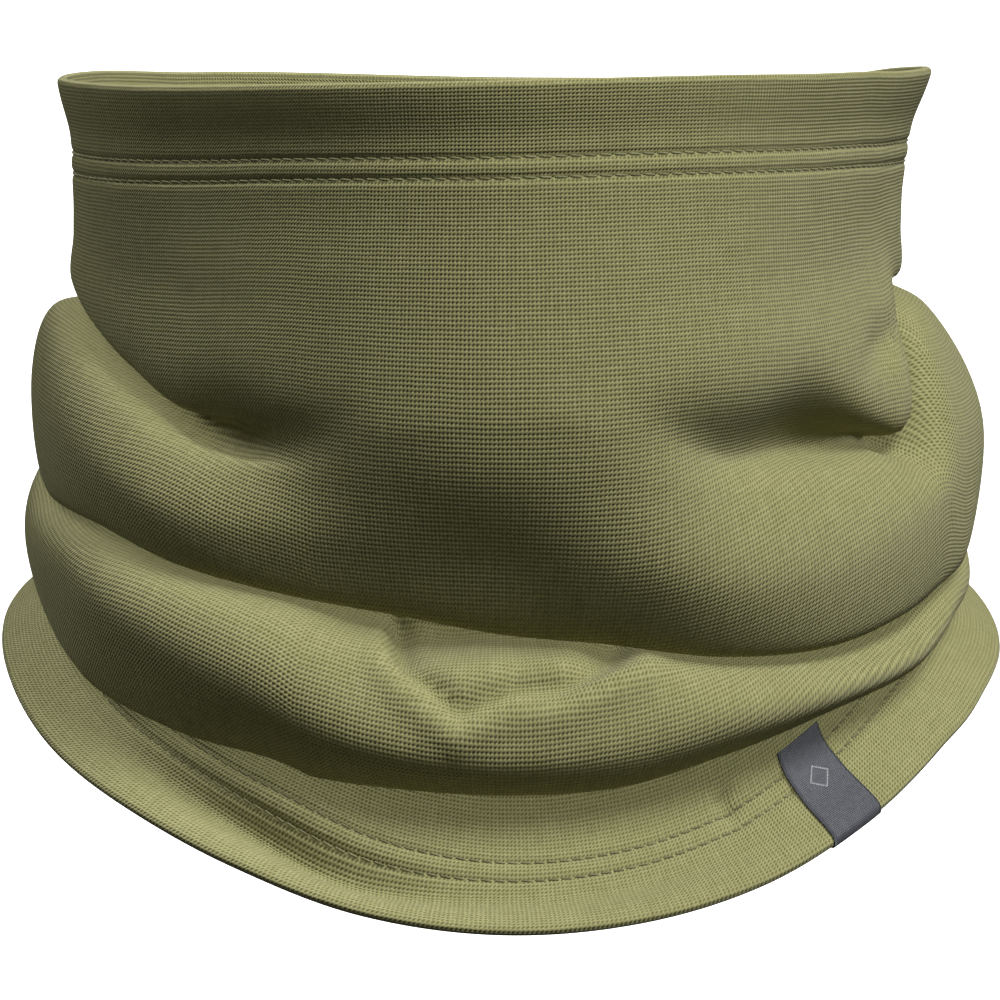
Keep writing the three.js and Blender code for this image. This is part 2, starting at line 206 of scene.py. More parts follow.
# ---- Small creases and hollows, pushed into the folds -----------------------------------------
# Hollows: azimuth, height, depth, half angle, half height, and rise of the middle per degree.
LOBE_CREASE = (64, 63.5, 2.6, 6, 3.2, 0.25)
LEFT_DENT = (-41, 50, 2.5, 8, 9, 0)
HEM_DENT = (30.5, -18, 1.7, 1.4, 4.5, 0)
LOWER_DIMPLE = (-9, 12, 1.2, 5, 4, 0)
HEM_DENT_REACH = HEM_DEPTH + 4          # the dent ends this far from the hem's edge

# The lower fold's crest dips to a V in front. Its azimuths, and its height at each.
CREST_AZIMUTHS = [-18, -12, -5, 2, 8, 13, 21]
CREST_HEIGHTS = [16, 8, 0, 4.5, 4.5, 8, 12]
CREST_START, CREST_END = (-21, -15), (17, 24)   # azimuths over which it fades in and out
CREST_RIDGE = (1.5, -2.4, 3.0)          # height of the push, place from the crest, half width
CREST_GROOVE = (3.2, 2.0, 2.4)

# The lower fold's belly swells and its lip draws in, at both sides of the front.
BELLY_SWELL = (1.3, 13.6, 0.5)          # push, place along the section, half width
LIP_DRAW = (0.9, 14.8, 0.35)
SWELL_START, SWELL_END = (15, 30), (52, 68)     # degrees from the front, to either side

# Places along a section, counted in its points.
UPPER_PART = 5.5                        # the cloth above the upper tuck
LOWER_FOLD = (11.5, 14.8)

WAIST_DRAW = (0.9, 10, 6)               # depth, distance from the rim, half width
HEM_RIPPLE = (1.3, 9, 4.5)              # share of the ripple, distance from the edge, half width
RIPPLES = ((5.4, -25, 20), (1.0, 14, 18))       # depth, azimuth, half angle


def around(values, azimuth):
    """The value at azimuths of numbers given at AZIMUTHS, smooth and closed round the neck."""
    values = np.asarray(values, float)
    count = len(AZIMUTHS)
    laps = np.arange(-1, count + 2)
    keys = AZIMUTHS[laps % count] + 360 * (laps // count)
    known = values[laps % count]
    slopes = (known[2:] - known[:-2]) / (keys[2:] - keys[:-2])
    turned = (np.asarray(azimuth, float) - AZIMUTHS[0]) % 360 + AZIMUTHS[0]
    i = np.clip(np.searchsorted(keys, turned, side="right") - 1, 1, count)
    span = keys[i + 1] - keys[i]
    t = (turned - keys[i]) / span
    start = known[i] * (1 + 2 * t) * (1 - t) ** 2 + slopes[i - 1] * span * t * (1 - t) ** 2
    end = known[i + 1] * t * t * (3 - 2 * t) - slopes[i] * span * t * t * (1 - t)
    return start + end


def round_end(before, end, after):
    """The two points that a tuck turns through."""
    across = before - after
    across *= TUCK_HALF_WIDTH / np.linalg.norm(across, axis=-1, keepdims=True)
    return [end + across, end - across]


def section_points(azimuth):
    """The points that each section passes through, from rim to lower edge, as (radius, height)."""
    line = {
        name: np.stack([around(radius, azimuth), around(height, azimuth)], axis=-1)
        for name, (radius, height) in WORN_LINES.items()
    }
    slope = np.radians(around(HEM_SLOPES, azimuth))
    edge = line["hem_edge"]
    lower_lip = line["lower_lip"].copy()
    hem_below = edge[:, 1] + (edge[:, 0] - lower_lip[:, 0]) * np.tan(slope)
    lower_lip[:, 1] = np.maximum(lower_lip[:, 1], hem_below + LIP_ABOVE_HEM / np.cos(slope))
    gutter = np.stack([line["middle_tuck"][:, 0], line["lower_ridge"][:, 1]], axis=-1) + GUTTER
    hem_root = edge + HEM_DEPTH * np.stack([-np.cos(slope), np.sin(slope)], axis=-1)
    upper_under = line["upper_lip"] + LIP_UNDERSIDE
    lower_under = lower_lip + LIP_UNDERSIDE
    points = [
        line["rim"],
        line["waist"],
        line["brow"],
        line["tube_edge"],
        *round_end(line["tube_edge"], line["upper_tuck"], line["shoulder"]),
        line["shoulder"],
        line["upper_belly"],
        line["upper_lip"],
        upper_under,
        *round_end(upper_under, line["middle_tuck"], gutter),
        gutter,
        line["lower_ridge"],
        line["lower_belly"],
        lower_lip,
        lower_under,
        *round_end(lower_under, line["lower_tuck"], hem_root),
        hem_root,
        edge,
    ]
    return np.stack(points, axis=1)


def smooth_curve(points, steps):
    """Centripetal Catmull-Rom through points (columns, count, 2), with that many steps a stretch."""
    first = 2 * points[:, :1] - points[:, 1:2]
    last = 2 * points[:, -1:] - points[:, -2:-1]
    p = np.concatenate([first, points, last], axis=1)
    gap = np.maximum(np.linalg.norm(p[:, 1:] - p[:, :-1], axis=-1, keepdims=True) ** 0.5, 1e-4)
    x0, x1, x2, x3 = p[:, :-3], p[:, 1:-2], p[:, 2:-1], p[:, 3:]
    d0, d1, d2 = gap[:, :-2], gap[:, 1:-1], gap[:, 2:]
    m1 = ((x1 - x0) / d0 - (x2 - x0) / (d0 + d1) + (x2 - x1) / d1) * d1
    m2 = ((x2 - x1) / d1 - (x3 - x1) / (d1 + d2) + (x3 - x2) / d2) * d1
    t = (np.arange(steps) / steps)[None, None, :, None]
    x1, x2, m1, m2 = (a[:, :, None, :] for a in (x1, x2, m1, m2))
    run = x1 + m1 * t + (3 * (x2 - x1) - 2 * m1 - m2) * t**2 + (2 * (x1 - x2) + m1 + m2) * t**3
    return np.concatenate([run.reshape(len(points), -1, 2), points[:, -1:]], axis=1)


def smoothstep(x, low, high):
    t = np.clip((x - low) / (high - low), 0, 1)
    return t * t * (3 - 2 * t)


def bell(x, centre, half_width):
    """A smooth bump, 1 at its centre."""
    return np.exp(-(((x - centre) / half_width) ** 2))


def pushed(x, shape):
    """A bump given as (height, centre, half width)."""
    height, centre, half_width = shape
    return height * bell(x, centre, half_width)


def ring_distance(azimuth, centre):
    """Degrees from centre, between -180 and 180."""
    return (azimuth - centre + 180) % 360 - 180


# ---- The cloth's middle surface --------------------------------------------------------------
COLUMNS = 440
ROW_SPACING = 1.15
CURVE_STEPS = 40
SEAM_COLUMNS = [-0.9, -0.6, -0.35, -0.15, 0.15, 0.35, 0.6, 0.9]   # degrees, beside the seam
HEM_DISTANCES = np.array([
    0.0, 0.5, 1.2, 2.2, 3.4, 4.7, 6.0, 7.3, 8.6, 9.9, 11.1, 12.0, 12.6, 13.0, 13.35, 13.7, 14.05,
    14.4, 14.8, 15.25, 15.65, 16.05, 16.5, 16.9, 17.25, 17.6, 17.95, 18.3, 18.7, 19.1, 19.4, 19.6, 20.1,
])


class Cloth:
    """The worn cloth's middle surface, as a grid of columns round the neck and rows down it."""

    def __init__(self):
        even = SEAM_AZIMUTH + 360 * (np.arange(COLUMNS) + 0.5) / COLUMNS
        near_seam = np.abs(ring_distance(even, SEAM_AZIMUTH)) < 1.2
        azimuth = np.concatenate([even[~near_seam], SEAM_AZIMUTH + 360 + np.array(SEAM_COLUMNS[:4]),
                                  SEAM_AZIMUTH + np.array(SEAM_COLUMNS[4:]), [SEAM_AZIMUTH]])
        self.azimuth = np.sort(azimuth)
        curve = smooth_curve(section_points(self.azimuth), CURVE_STEPS)
        steps = np.linalg.norm(np.diff(curve, axis=1), axis=-1)
        run = np.concatenate([np.zeros((len(curve), 1)), np.cumsum(steps, axis=1)], axis=1)
        parameter = np.arange(curve.shape[1]) / CURVE_STEPS
        self.length = run[:, -1]

        def at_distance(distances):
            return np.array([np.interp(d, r, parameter) for d, r in zip(distances, run)])

        count = len(self.azimuth)
        top = at_distance(np.tile(HEM_DISTANCES, (count, 1)))
        bottom = at_distance(self.length[:, None] - HEM_DISTANCES[::-1][None, :])
        low, high = top[:, -1], bottom[:, 0]
        mean_run = run.mean(axis=0)
        start = np.interp(low.mean(), parameter, mean_run)
        end = np.interp(high.mean(), parameter, mean_run)
        rows = int((end - start) / ROW_SPACING)
        middle = np.interp(np.linspace(start, end, rows + 2)[1:-1], mean_run, parameter)
        share = (middle - low.mean()) / (high.mean() - low.mean())
        tube = low[:, None] + (high - low)[:, None] * share[None, :]
        self.station = np.concatenate([top, tube, bottom], axis=1)
        self.run = np.array([np.interp(s, parameter, r) for s, r in zip(self.station, run)])
        radius = np.array([np.interp(s, parameter, c[:, 0]) for s, c in zip(self.station, curve)])
        height = np.array([np.interp(s, parameter, c[:, 1]) for s, c in zip(self.station, curve)])
        angle = np.radians(self.azimuth)[:, None]
        self.points = np.stack([radius * np.sin(angle), -radius * np.cos(angle), height], axis=-1)
        self.update_normals()
        self.push(self.detail())

    def push(self, amount):
        """Moves the surface outwards, square to itself."""
        self.points = self.points + self.normals * amount[..., None]
        self.update_normals()

    def detail(self):
        """Small creases and hollows on the folds: how far each grid point is pushed outwards."""
        height = self.points[..., 2]
        degrees = self.azimuth[:, None]
        from_rim = self.run
        from_edge = self.length[:, None] - self.run

        def hollow(azimuth, at_height, depth, half_angle, half_height, tilt):
            aside = ring_distance(degrees, azimuth)
            above = height - at_height - tilt * aside
            return -depth * bell(aside, 0, half_angle) * bell(above, 0, half_height)

        waist_depth, waist_place, waist_half = WAIST_DRAW
        waist = -waist_depth * bell(from_rim, waist_place, waist_half)
        upper_part = self.station < UPPER_PART
        creases = (hollow(*LOBE_CREASE) + hollow(*LEFT_DENT)) * upper_part
        hem_dent = hollow(*HEM_DENT) * (from_edge < HEM_DENT_REACH)

        lower_fold = (self.station > LOWER_FOLD[0]) & (self.station < LOWER_FOLD[1])
        from_front = ring_distance(degrees, 0)
        above = height - np.interp(from_front, CREST_AZIMUTHS, CREST_HEIGHTS)
        fade = smoothstep(from_front, *CREST_START) * (1 - smoothstep(from_front, *CREST_END))
        crest = pushed(above, CREST_RIDGE) - pushed(above, CREST_GROOVE)
        folds = (crest * fade + hollow(*LOWER_DIMPLE)) * lower_fold

        swell = pushed(self.station, BELLY_SWELL) - pushed(self.station, LIP_DRAW)
        swell = swell * smoothstep(np.abs(degrees), *SWELL_START)
        swell = swell * (1 - smoothstep(np.abs(degrees), *SWELL_END))

        ripple = sum(
            depth * bell(ring_distance(degrees, place), 0, half) for depth, place, half in RIPPLES
        )
        return waist + creases + hem_dent + folds + swell - ripple * pushed(from_edge, HEM_RIPPLE)

    def update_normals(self):
        """Outward normals of the grid."""
        p = self.points
        around_step = np.roll(p, -1, axis=0) - np.roll(p, 1, axis=0)
        along_step = np.gradient(p, axis=1)
        normal = np.cross(around_step, -along_step)
        self.normals = normal / np.linalg.norm(normal, axis=-1, keepdims=True)

    def top_row(self, distance):
        """Row number, fractional, at a distance down from the rim."""
        return np.interp(distance, HEM_DISTANCES, np.arange(len(HEM_DISTANCES)))

    def bottom_row(self, distance):
        """Row number, fractional, at a distance up from the lower edge."""
        return self.points.shape[1] - 1 - self.top_row(distance)

    def sample(self, azimuth, row, offset=0.0):
        """Points on the surface at azimuths and fractional rows, moved outwards by offset."""
        given = (np.asarray(a, float) for a in (azimuth, row, offset))
        azimuth, row, offset = np.broadcast_arrays(*given)
        turned = (azimuth - self.azimuth[0]) % 360 + self.azimuth[0]
        keys = np.append(self.azimuth, self.azimuth[0] + 360)
        i = np.clip(np.searchsorted(keys, turned, side="right") - 1, 0, len(keys) - 2)
        s = ((turned - keys[i]) / (keys[i + 1] - keys[i]))[..., None]
        i2 = (i + 1) % len(self.azimuth)
        j = np.clip(np.floor(row).astype(int), 0, self.points.shape[1] - 2)
        t = (row - j)[..., None]

        def mix(a):
            upper = a[i, j] * (1 - s) + a[i2, j] * s
            lower = a[i, j + 1] * (1 - s) + a[i2, j + 1] * s
            return upper * (1 - t) + lower * t

        return mix(self.points) + mix(self.normals) * offset[..., None]


cloth = Cloth()


# ---- Mesh helpers ----------------------------------------------------------------------------
def mesh_object(name, vertices, faces, material):
    """A smooth-shaded mesh object from vertices in millimetres."""
    mesh = bpy.data.meshes.new(name)
    mesh.from_pydata((np.asarray(vertices).reshape(-1, 3) * MM).tolist(), [], faces)
    mesh.validate()
    mesh.shade_smooth()
    made = bpy.data.objects.new(name, mesh)
    bpy.context.scene.collection.objects.link(made)
    made.data.materials.append(material)
    return made


def grid_faces(columns, rows, first=0, closed_round=False, closed_across=False):
    """Quads of a grid whose vertices go row by row within each column."""
    faces = []
    for i in range(columns if closed_round else columns - 1):
        here, there = first + i * rows, first + (i + 1) % columns * rows
        for j in range(rows if closed_across else rows - 1):
            k = (j + 1) % rows
            faces.append((here + j, here + k, there + k, there + j))
    return faces


def tube_mesh(centres, radii, sides, closed, first=0):
    """Vertices and faces of a thread along centres, with a radius at each."""
    centres = np.asarray(centres)
    if closed:
        along = np.roll(centres, -1, axis=0) - np.roll(centres, 1, axis=0)
    else:
        along = np.gradient(centres, axis=0)
    along /= np.linalg.norm(along, axis=1, keepdims=True)
    outward = centres * [1, 1, 0]
    side = np.cross(along, outward)
    side /= np.linalg.norm(side, axis=1, keepdims=True)
    up = np.cross(side, along)
    turn = 2 * np.pi * np.arange(sides) / sides
    ring = np.cos(turn)[None, :, None] * side[:, None, :] + np.sin(turn)[None, :, None] * up[:, None, :]
    vertices = (centres[:, None, :] + ring * np.asarray(radii)[:, None, None]).reshape(-1, 3)
    faces = grid_faces(len(centres), sides, first, closed_round=closed, closed_across=True)
    if not closed:
        last = first + (len(centres) - 1) * sides
        faces.append(tuple(first + k for k in reversed(range(sides))))
        faces.append(tuple(last + k for k in range(sides)))
    return vertices, faces


# ---- Materials -------------------------------------------------------------------------------
def new_material(name):
    material = bpy.data.materials.new(name)
    material.use_nodes = True
    return material, material.node_tree, material.node_tree.nodes["Principled BSDF"]


def maths(tree, operation, *values):
    """A Math node's result. Each value is a number or a socket."""
    made = tree.nodes.new("ShaderNodeMath")
    made.operation = operation
    for socket, value in zip(made.inputs, values):
        if isinstance(value, (int, float)):
            socket.default_value = value
        else:
            tree.links.new(value, socket)
    return made.outputs[0]


def wave(tree, value):
    """Cosine of a value counted in periods."""
    return maths(tree, "COSINE", maths(tree, "MULTIPLY", value, 2 * math.pi))


def noise(tree, vector, scale, detail=2.0, roughness=0.5):
    made = tree.nodes.new("ShaderNodeTexNoise")
    made.inputs["Scale"].default_value = scale
    made.inputs["Detail"].default_value = detail
    made.inputs["Roughness"].default_value = roughness
    tree.links.new(vector, made.inputs["Vector"])
    return made.outputs["Fac"]


def combine(tree, x, y):
    made = tree.nodes.new("ShaderNodeCombineXYZ")
    tree.links.new(x, made.inputs[0])
    tree.links.new(y, made.inputs[1])
    return made.outputs[0]


def ramp(tree, value, stops):
    """Colour from a value, by (position, (r, g, b)) stops."""
    made = tree.nodes.new("ShaderNodeValToRGB")
    tree.links.new(value, made.inputs[0])
    elements = made.color_ramp.elements
    while len(elements) < len(stops):
        elements.new(0.5)
    for element, (position, colour) in zip(elements, stops):
        element.position = position
        element.color = (*colour, 1)
    return made.outputs[0]


def bump(tree, height, distance, strength=1.0):
    made = tree.nodes.new("ShaderNodeBump")
    made.inputs["Strength"].default_value = strength
    made.inputs["Distance"].default_value = distance
    tree.links.new(height, made.inputs["Height"])
    return made.outputs[0]


WEAVE_ACROSS = 0.70          # from hole to hole round the tube
WEAVE_DOWN = 0.84            # and along it
WEAVE_ROUND = round(FLAT_WIDTH / WEAVE_ACROSS)   # holes in the girth, a whole number


def knit_material():
    """Fine open mesh knit: small slanted dark holes in a light net, with uneven yarn."""
    material, tree, shader = new_material("olive_knit")
    uv = tree.nodes.new("ShaderNodeUVMap")
    uv.uv_map = "cloth"
    split = tree.nodes.new("ShaderNodeSeparateXYZ")
    tree.links.new(uv.outputs[0], split.inputs[0])
    u, v = split.outputs[0], split.outputs[1]
    wander = noise(tree, uv.outputs[0], 900.0, 1.0)
    drift = noise(tree, uv.outputs[0], 130.0, 2.0)
    across = maths(tree, "MULTIPLY", u, WEAVE_ROUND / (FLAT_WIDTH * MM))
    down = maths(tree, "MULTIPLY", v, 1 / (WEAVE_DOWN * MM))
    across = maths(tree, "MULTIPLY_ADD", maths(tree, "SUBTRACT", wander, 0.5), 0.24, across)
    down = maths(tree, "MULTIPLY_ADD", maths(tree, "SUBTRACT", drift, 0.5), 0.45, down)
    square = maths(tree, "ADD", wave(tree, across), wave(tree, down))
    slant = wave(tree, maths(tree, "ADD", across, down))
    mesh = maths(tree, "MULTIPLY_ADD", slant, -0.50, maths(tree, "MULTIPLY", square, -0.40))
    yarn_round = noise(tree, combine(tree, maths(tree, "MULTIPLY", u, 0.08), v), 1500.0, 1.0)
    yarn_down = noise(tree, combine(tree, u, maths(tree, "MULTIPLY", v, 0.1)), 1300.0, 1.0)
    loop = noise(tree, uv.outputs[0], 1700.0, 0.0)
    uneven = maths(tree, "ADD", maths(tree, "ADD", yarn_round, yarn_down), loop)
    uneven = maths(tree, "SUBTRACT", uneven, 1.5)
    level = maths(tree, "MULTIPLY_ADD", uneven, 0.22, maths(tree, "MULTIPLY_ADD", mesh, 0.22, 0.56))
    colour = ramp(tree, level, [
        (0.0, (0.050, 0.046, 0.010)),
        (0.30, (0.150, 0.143, 0.052)),
        (0.60, (0.245, 0.239, 0.104)),
        (1.0, (0.37, 0.362, 0.185)),
    ])
    tree.links.new(colour, shader.inputs["Base Color"])
    tree.links.new(bump(tree, mesh, 0.00020, 0.7), shader.inputs["Normal"])
    shader.inputs["Roughness"].default_value = 0.95
    shader.inputs["Specular IOR Level"].default_value = 0.15
    shader.inputs["Sheen Weight"].default_value = 0.08
    shader.inputs["Sheen Roughness"].default_value = 0.5
    return material


def thread_material(name, dark, light):
    """Spun sewing thread: fine slanted plies."""
    material, tree, shader = new_material(name)
    place = tree.nodes.new("ShaderNodeTexCoord").outputs["Object"]
    plies = noise(tree, place, 2600.0, 2.0)
    tone = noise(tree, place, 260.0, 1.0)
    mixed = maths(tree, "MULTIPLY_ADD", tone, 0.5, maths(tree, "MULTIPLY", plies, 0.5))
    tree.links.new(ramp(tree, mixed, [(0.3, dark), (0.7, light)]), shader.inputs["Base Color"])
    tree.links.new(bump(tree, plies, 0.00008, 0.5), shader.inputs["Normal"])
    shader.inputs["Roughness"].default_value = 0.75
    shader.inputs["Specular IOR Level"].default_value = 0.25
    shader.inputs["Sheen Weight"].default_value = 0.1
    return material


def satin_material(name, dark, light):
    """Woven label satin: close ribs along its width, fine floats along its length."""
    material, tree, shader = new_material(name)
    uv = tree.nodes.new("ShaderNodeUVMap")
    uv.uv_map = "ribbon"
    split = tree.nodes.new("ShaderNodeSeparateXYZ")
    tree.links.new(uv.outputs[0], split.inputs[0])
    u, v = split.outputs[0], split.outputs[1]
    ribs = wave(tree, maths(tree, "MULTIPLY", v, 2600.0))
    floats = wave(tree, maths(tree, "MULTIPLY_ADD", v, 650.0, maths(tree, "MULTIPLY", u, 2100.0)))
    cloudy = noise(tree, uv.outputs[0], 700.0, 3.0)
    height = maths(tree, "MULTIPLY_ADD", floats, 0.5, ribs)
    level = maths(tree, "MULTIPLY_ADD", height, 0.12, cloudy)
    tree.links.new(ramp(tree, level, [(0.25, dark), (0.75, light)]), shader.inputs["Base Color"])
    tree.links.new(bump(tree, height, 0.00005, 0.5), shader.inputs["Normal"])
    shader.inputs["Roughness"].default_value = 0.5
    shader.inputs["Specular IOR Level"].default_value = 0.4
    shader.inputs["Sheen Weight"].default_value = 0.15
    return material


knit = knit_material()
needle_thread = thread_material("olive_thread", (0.085, 0.082, 0.033), (0.21, 0.205, 0.10))
looper_thread = thread_material("olive_looper_thread", (0.12, 0.115, 0.05), (0.27, 0.26, 0.14))
satin = satin_material("slate_satin", (0.029, 0.031, 0.039), (0.052, 0.055, 0.066))
mark_satin = satin_material("pale_satin", (0.16, 0.165, 0.175), (0.26, 0.265, 0.275))


# ---- The cloth body --------------------------------------------------------------------------
def face_offsets():
    """How far the outer and inner faces stand from the middle, at each grid point."""
    from_rim = cloth.run
    from_edge = cloth.length[:, None] - cloth.run
    nearest = np.minimum(from_rim, from_edge)
    groove = sum(bell(nearest, row, GROOVE_HALF_WIDTH) for row in (OUTER_ROW, INNER_ROW))
    seam_degrees = ring_distance(cloth.azimuth, SEAM_AZIMUTH)[:, None]
    seam = bell(seam_degrees, 0, SEAM_LINE_ANGLE)
    outer = OUTER_FACE - GROOVE_DEPTH * groove - SEAM_LINE_DEPTH * seam
    turned = 1 - smoothstep(nearest, HEM_DEPTH - 0.1, HEM_DEPTH + 0.1)
    inner = INNER_FACE + (TURNED_FACE - INNER_FACE) * turned - INNER_GROOVE_DEPTH * groove * turned
    return outer, inner


def edge_arc(end_row, beyond, steps):
    """Rings of the rounded fold at a hem's edge, from the outer face to the inner."""
    middle = cloth.points[:, end_row]
    normal = cloth.normals[:, end_row]
    half = (OUTER_FACE + TURNED_FACE) / 2
    centre = middle + normal * (OUTER_FACE - half)
    turns = np.pi * np.arange(1, steps) / steps
    return [centre + normal * half * math.cos(t) + beyond * half * math.sin(t) for t in turns]


def unit(a):
    return a / np.linalg.norm(a, axis=-1, keepdims=True)


EDGE_WEAVE = 3              # length of weave laid round the fold at a hem's edge


def cloth_body():
    """One closed, continuous cloth: both faces, the rounded rim and the rounded lower edge."""
    outer_offset, inner_offset = face_offsets()
    outer = cloth.points + cloth.normals * outer_offset[..., None]
    inner = cloth.points - cloth.normals * inner_offset[..., None]
    past_rim = unit(cloth.points[:, 0] - cloth.points[:, 1])
    past_edge = unit(cloth.points[:, -1] - cloth.points[:, -2])
    steps = 6
    lower = np.stack(edge_arc(-1, past_edge, steps), axis=1)
    upper = np.stack(edge_arc(0, past_rim, steps)[::-1], axis=1)
    ring = np.concatenate([outer, lower, inner[:, ::-1], upper], axis=1)
    columns, size = ring.shape[:2]
    faces = grid_faces(columns, size, closed_round=True, closed_across=True)
    faces = [f[::-1] for f in faces]
    made = mesh_object("cloth", ring, faces, knit)

    mean_length = cloth.length.mean()
    share = cloth.run / cloth.length[:, None]
    slack = (mean_length - cloth.length)[:, None] * smoothstep(share, 0, 1)
    down = (cloth.run + slack) * FLAT_LENGTH / mean_length
    turned = np.arange(1, steps) / steps
    lower_v = FLAT_LENGTH + EDGE_WEAVE * turned
    upper_v = -EDGE_WEAVE * (1 - turned)
    v = np.concatenate([
        down,
        np.tile(lower_v, (columns, 1)),
        down[:, ::-1] + EDGE_WEAVE,
        np.tile(upper_v, (columns, 1)),
    ], axis=1)
    degrees = (cloth.azimuth - SEAM_AZIMUTH) % 360
    u = np.tile((degrees / 360 * FLAT_WIDTH)[:, None], (1, size))
    uv = np.stack([u, v], axis=-1).reshape(-1, 2) * MM
    layer = made.data.uv_layers.new(name="cloth")
    corner_vertices = np.zeros(len(made.data.loops), int)
    made.data.loops.foreach_get("vertex_index", corner_vertices)
    corners = uv[corner_vertices].reshape(-1, 4, 2)
    wrap = corners[:, :, 0].max(axis=1) - corners[:, :, 0].min(axis=1) > FLAT_WIDTH * MM / 2
    low = corners[:, :, 0] < FLAT_WIDTH * MM / 2
    corners[..., 0] += np.where(wrap[:, None] & low, FLAT_WIDTH * MM, 0)
    layer.data.foreach_set("uv", corners.astype(np.float32).ravel())
    return made


body = cloth_body()


# ---- Coverstitching --------------------------------------------------------------------------
THREAD_SIDES = 6
STITCH_POINTS = 9


def needle_stitches(name, row, girth):
    """A row of short slanted stitches, each dipping into the cloth at its ends."""
    count = round(girth / STITCH_LENGTH)
    along = np.linspace(-0.5, 0.5, STITCH_POINTS)
    radii = NEEDLE_RADIUS * np.sqrt(np.clip(1 - (2 * along * 0.97) ** 4, 0.04, 1))
    vertices, faces = [], []
    for i in range(count):
        centre = 360 * i / count
        azimuth = centre + along * 360 / count * 0.92
        lift = OUTER_FACE - GROOVE_DEPTH + 0.12 - 0.34 * (2 * along) ** 4
        points = cloth.sample(azimuth, row + 0.55 * along, lift)
        first = i * STITCH_POINTS * THREAD_SIDES
        ring, more = tube_mesh(points, radii, THREAD_SIDES, closed=False, first=first)
        vertices.append(ring)
        faces += more
    return mesh_object(name, np.concatenate(vertices), faces, needle_thread)


def looper_stitches(name, row_near, row_far, girth):
    """The looper thread inside, crossing between the two needle rows."""
    count = round(girth / STITCH_LENGTH)
    steps = 6
    turn = np.arange(count * steps)
    phase = 2 * np.pi * turn / steps
    row = (row_near + row_far) / 2 + (row_far - row_near) * 0.56 * np.clip(1.25 * np.sin(phase), -1, 1)
    azimuth = 360 * (turn + 0.9 * np.sin(2 * phase)) / (count * steps)
    lift = -(TURNED_FACE + 0.02 + 0.14 * np.cos(2 * phase))
    points = cloth.sample(azimuth, row, lift)
    ring, faces = tube_mesh(points, np.full(len(points), LOOPER_RADIUS), THREAD_SIDES, closed=True)
    return mesh_object(name, ring, faces, looper_thread)


def bend(piece):
    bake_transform(piece)


bend(body)
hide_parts("tube_body", "top_hem", "bottom_hem")

for hem, row_of, line in (("top", cloth.top_row, "rim"), ("bottom", cloth.bottom_row, "hem_edge")):
    girth = 2 * math.pi * float(np.mean(WORN_LINES[line][0]))
    for which, distance in (("outer", OUTER_ROW), ("inner", INNER_ROW)):
        stitches = needle_stitches(f"{hem}_hem_stitches_{which}", row_of(distance), girth)
        bend(stitches)
        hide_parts(f"{hem}_hem_needle_thread_{which}")
    looper = looper_stitches(f"{hem}_hem_looper_stitches", row_of(OUTER_ROW), row_of(INNER_ROW), girth)
    bend(looper)
    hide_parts(f"{hem}_hem_looper_thread")


# ---- Side seam -------------------------------------------------------------------------------
def seam_rows():
    first = int(np.ceil(cloth.top_row(HEM_DEPTH))) + 1
    last = int(np.floor(cloth.bottom_row(HEM_DEPTH))) - 1
    return np.arange(first, last + 1)


def seam_allowance():
    """The two cloth edges sewn together, pressed to one side as a soft flat ridge inside."""
    rows = seam_rows()
    turns = np.linspace(0, 2 * np.pi, 14, endpoint=False)
    radius = np.linalg.norm(cloth.sample(SEAM_AZIMUTH, rows)[:, :2], axis=1)
    half = np.degrees(SEAM_WIDTH / 2 / radius)
    azimuth = SEAM_AZIMUTH + half[:, None] * np.cos(turns)[None, :]
    rise = -(INNER_FACE + 0.45 + 0.4 * np.sign(np.sin(turns)) * np.abs(np.sin(turns)) ** 0.5)
    points = cloth.sample(azimuth, rows[:, None], rise[None, :])
    faces = grid_faces(len(rows), len(turns), closed_across=True)
    count = len(turns)
    faces.append(tuple(reversed(range(count))))
    faces.append(tuple((len(rows) - 1) * count + k for k in range(count)))
    return mesh_object("side_seam_allowance", points, faces, knit)


def seam_overlock():
    """The overlock thread, wrapping from side to side of the allowance."""
    rows = seam_rows()
    turn = np.linspace(0, 1, len(rows) * 5)
    row = rows[0] + (rows[-1] - rows[0]) * turn
    periods = len(rows) * ROW_SPACING / OVERLOCK_PERIOD
    swing = np.clip(1.3 * np.sin(2 * np.pi * periods * turn), -1, 1)
    radius = np.linalg.norm(cloth.sample(SEAM_AZIMUTH, row)[:, :2], axis=1)
    azimuth = SEAM_AZIMUTH + np.degrees(SEAM_WIDTH / 2 / radius) * swing
    rise = -(INNER_FACE + 0.95 - 0.35 * np.abs(swing) ** 4)
    points = cloth.sample(azimuth, row, rise)
    ring, faces = tube_mesh(points, np.full(len(points), OVERLOCK_RADIUS), THREAD_SIDES, closed=False)
    return mesh_object("side_seam_overlock", ring, faces, looper_thread)


allowance = seam_allowance()
overlock = seam_overlock()
for piece, slot in ((allowance, "knit_cloth"), (overlock, "sewing_thread")):
    bend(piece)
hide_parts("side_seam")


# ---- Woven label -----------------------------------------------------------------------------
LABEL_ON_HEM = OUTER_FACE + 0.15
LABEL_OVER_STITCH = OUTER_FACE + 0.35


def label_stand_off(distance):
    """The label's underside above the hem's middle, rising a little over the needle rows."""
    return LABEL_ON_HEM + (LABEL_OVER_STITCH - LABEL_ON_HEM) * smoothstep(distance, 9.0, 13.0)


label_edge_row = cloth.points.shape[1] - 1
label_radius = float(around(WORN_LINES["hem_edge"][0], LABEL_AZIMUTH))
label_half_angle = math.degrees(LABEL_WIDTH / 2 / label_radius)
LABEL_FRONT = INNER_ROW + LABEL_PAST_ROWS
LABEL_BACK = 11.5
LABEL_FOLD_PAST = 0.3       # how far the label's fold stands off the hem's edge


